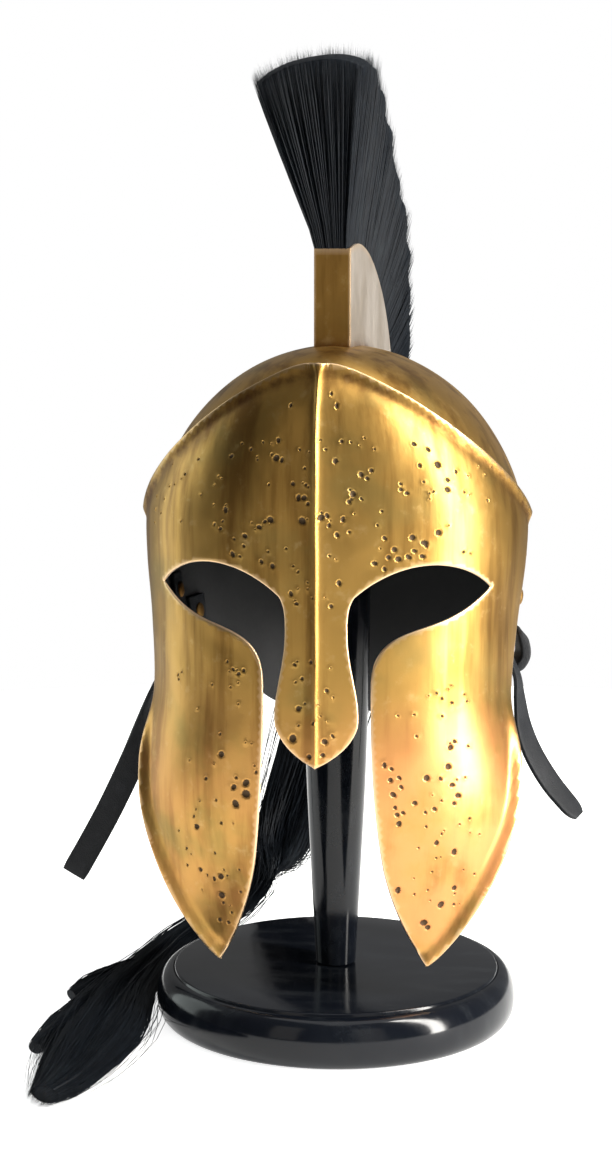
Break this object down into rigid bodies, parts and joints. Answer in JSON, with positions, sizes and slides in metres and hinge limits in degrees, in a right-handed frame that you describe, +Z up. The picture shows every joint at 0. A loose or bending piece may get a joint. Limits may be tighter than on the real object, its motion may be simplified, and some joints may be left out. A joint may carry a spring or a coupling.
{
  "type": "greek bronze helmet with display stand",
  "caption": "Corinthian-style bronze helmet with almond eye openings, long cheek guards, horsehair crest and chin straps, resting on a round turned wooden stand.",
  "frame": {"origin": "centre of the stand's round underside, on the surface that it rests on", "axes": "+Z up; the helmet faces -Y; +X is the wearer's left-hand side"},
  "size_m": [0.3052, 0.3702, 0.5344],
  "materials": {
    "bronze": "aged, hand-hammered, pitted, with bright worn edges",
    "dark_bronze": "darkened, satin",
    "horsehair": "black horsehair, slightly glossy",
    "black_leather": "smooth black leather",
    "black_lacquer": "turned wood under glossy black lacquer"
  },
  "bodies": {
    "root": {"face_plate": "bronze", "skull_bowl": "bronze", "crest_box": "dark_bronze", "plume_brush": "horsehair", "plume_tail": "horsehair", "chin_strap_right": "black_leather", "chin_strap_left": "black_leather", "strap_tab_right": "black_leather", "strap_tab_left": "black_leather", "strap_rivet_right": "dark_bronze", "strap_rivet_left": "dark_bronze", "tab_rivet_right": "dark_bronze", "tab_rivet_left": "dark_bronze", "stand_post": "black_lacquer", "stand_base": "black_lacquer"}
  },
  "joints": []
}
